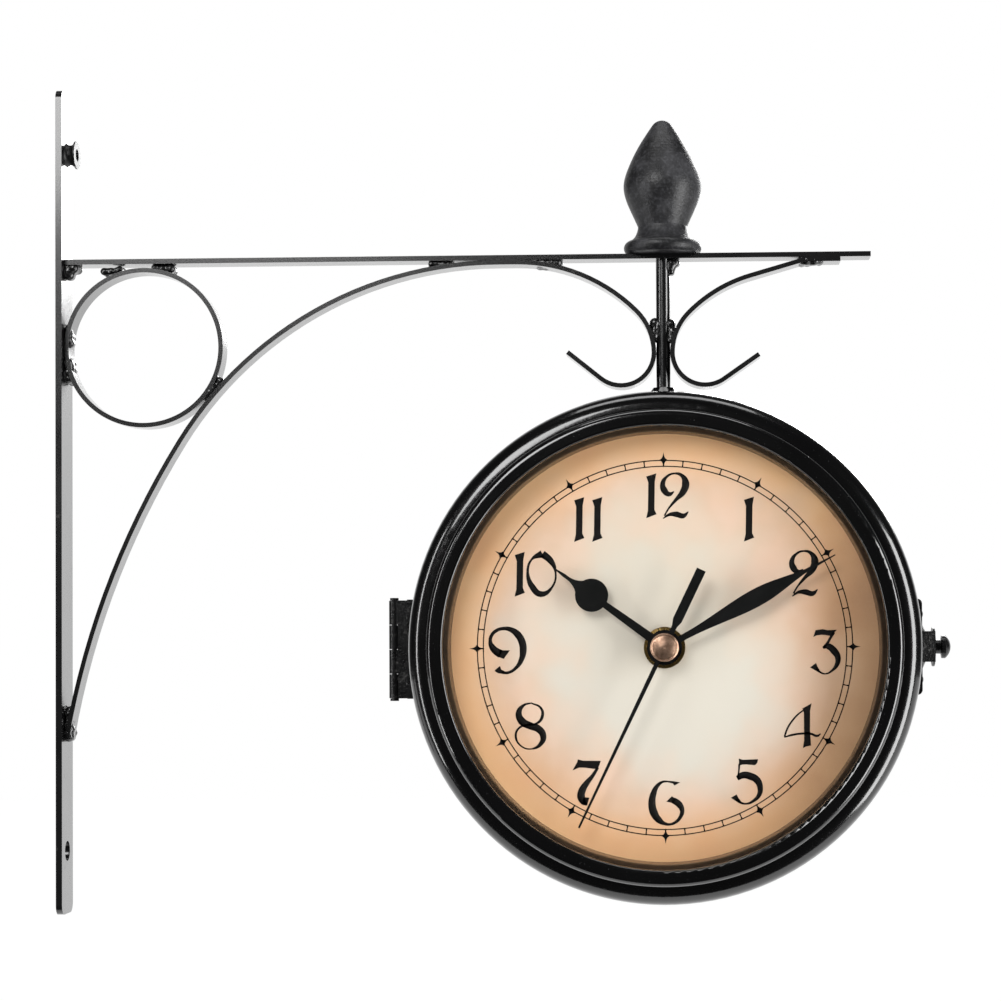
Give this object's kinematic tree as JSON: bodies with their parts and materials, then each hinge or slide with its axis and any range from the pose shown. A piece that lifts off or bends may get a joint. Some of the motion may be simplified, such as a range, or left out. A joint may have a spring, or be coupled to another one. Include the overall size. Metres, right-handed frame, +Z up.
{
  "type": "double sided station clock",
  "caption": "Double sided round clock that swivels under a scrolled wall bracket, with a hinged, latched case, a dial and hands on each side and a turned finial.",
  "frame": {"origin": "centre of the wall plate's flat back face, midway between the two screw holes", "axes": "+X out from the wall along the arm, +Z up, one dial faces -Y and the other +Y"},
  "size_m": [0.356, 0.092, 0.33],
  "materials": {
    "bracket_black": "semi-gloss black paint over steel bar",
    "weld_black": "black paint over rough weld",
    "bush_plastic": "matt black",
    "finial_wood": "satin black lacquer over turned wood",
    "zinc_steel": "zinc plated",
    "case_gloss": "gloss black enamel",
    "bezel_gloss": "gloss black",
    "hardware_black": "black paint",
    "clear_glass": "clear",
    "dial_print": "printed paper on board",
    "movement_plastic": "black moulded",
    "battery_skin": "plain sleeve",
    "nickel": "nickel plated",
    "knob_plastic": "white moulded",
    "brass_bright": "bright",
    "hand_black": "satin black",
    "copper_cap": "spun copper colour"
  },
  "bodies": {
    "bracket": {"wall_plate": "bracket_black", "wall_bush": "bush_plastic", "top_arm": "bracket_black", "brace_ring": "bracket_black", "arch_strip": "bracket_black", "front_scroll": "bracket_black", "hanger_rod": "bracket_black", "weld_beads": "weld_black", "finial": "finial_wood", "thrust_washer": "zinc_steel", "jam_nuts": "zinc_steel"},
    "head": {"rear_shell": "case_gloss", "swivel_bush": "case_gloss", "bush_nut": "zinc_steel", "rear_hinge_leaf": "hardware_black", "hinge_pin": "hardware_black", "rear_rivets": "hardware_black", "latch_base": "hardware_black", "rear_bezel": "bezel_gloss", "rear_glass": "clear_glass", "rear_spacer_ring": "bezel_gloss", "rear_dial": "dial_print", "rear_dial_screws": "zinc_steel", "rear_movement_housing": "movement_plastic", "rear_battery": "battery_skin", "rear_battery_contacts": "nickel", "rear_hub_nut": "brass_bright"},
    "front_half": {"front_shell": "case_gloss", "front_hinge_leaf": "hardware_black", "front_rivets": "hardware_black", "latch_tongue": "hardware_black", "front_bezel": "bezel_gloss", "front_glass": "clear_glass", "front_spacer_ring": "bezel_gloss", "front_dial": "dial_print", "front_dial_screws": "zinc_steel", "front_movement_housing": "movement_plastic", "front_battery": "battery_skin", "front_battery_contacts": "nickel", "front_hub_nut": "brass_bright"},
    "latch": {"thumb_screw": "hardware_black"},
    "front_minute": {"front_minute_hand": "hand_black", "front_minute_pipe": "brass_bright"},
    "front_hour": {"front_hour_hand": "hand_black", "front_hour_pipe": "brass_bright"},
    "front_second": {"front_second_hand": "hand_black", "front_second_arbor": "nickel", "front_hub_cap": "copper_cap"},
    "front_setting": {"front_setting_knob": "knob_plastic"},
    "rear_minute": {"rear_minute_hand": "hand_black", "rear_minute_pipe": "brass_bright"},
    "rear_hour": {"rear_hour_hand": "hand_black", "rear_hour_pipe": "brass_bright"},
    "rear_second": {"rear_second_hand": "hand_black", "rear_second_arbor": "nickel", "rear_hub_cap": "copper_cap"},
    "rear_setting": {"rear_setting_knob": "knob_plastic"}
  },
  "joints": [
    {"name": "head_swivel", "type": "hinge", "parent": "bracket", "child": "head", "pos_m": [0.2425, 0, 0], "axis": [0, 0, 1], "continuous": true},
    {"name": "front_opening", "type": "hinge", "parent": "head", "child": "front_half", "pos_m": [0.1353, -0.008, -0.06], "axis": [0, 0, -1], "range_deg": [0, 110]},
    {"name": "latch_turn", "type": "hinge", "parent": "head", "child": "latch", "pos_m": [0.3475, 0.0025, -0.06], "axis": [1, 0, 0], "range_deg": [0, 360]},
    {"name": "front_minute_turn", "type": "hinge", "parent": "front_half", "child": "front_minute", "pos_m": [0.2425, -0.036, -0.06], "axis": [0, 1, 0], "continuous": true},
    {"name": "front_hour_turn", "type": "hinge", "parent": "front_half", "child": "front_hour", "pos_m": [0.2425, -0.036, -0.06], "axis": [0, 1, 0], "continuous": true},
    {"name": "front_second_turn", "type": "hinge", "parent": "front_half", "child": "front_second", "pos_m": [0.2425, -0.036, -0.06], "axis": [0, 1, 0], "continuous": true},
    {"name": "front_setting_turn", "type": "hinge", "parent": "front_half", "child": "front_setting", "pos_m": [0.2425, -0.012, -0.0465], "axis": [0, 1, 0], "continuous": true},
    {"name": "rear_minute_turn", "type": "hinge", "parent": "head", "child": "rear_minute", "pos_m": [0.2425, 0.036, -0.06], "axis": [0, -1, 0], "continuous": true},
    {"name": "rear_hour_turn", "type": "hinge", "parent": "head", "child": "rear_hour", "pos_m": [0.2425, 0.036, -0.06], "axis": [0, -1, 0], "continuous": true},
    {"name": "rear_second_turn", "type": "hinge", "parent": "head", "child": "rear_second", "pos_m": [0.2425, 0.036, -0.06], "axis": [0, -1, 0], "continuous": true},
    {"name": "rear_setting_turn", "type": "hinge", "parent": "head", "child": "rear_setting", "pos_m": [0.2425, 0.012, -0.0465], "axis": [0, -1, 0], "continuous": true}
  ],
  "couplings": [
    {"joint": "front_hour_turn", "follows": "front_minute_turn", "ratio": 0.083333},
    {"joint": "front_second_turn", "follows": "front_minute_turn", "ratio": 60},
    {"joint": "front_setting_turn", "follows": "front_minute_turn", "ratio": -0.33333},
    {"joint": "rear_hour_turn", "follows": "rear_minute_turn", "ratio": 0.083333},
    {"joint": "rear_second_turn", "follows": "rear_minute_turn", "ratio": 60},
    {"joint": "rear_setting_turn", "follows": "rear_minute_turn", "ratio": -0.33333}
  ]
}
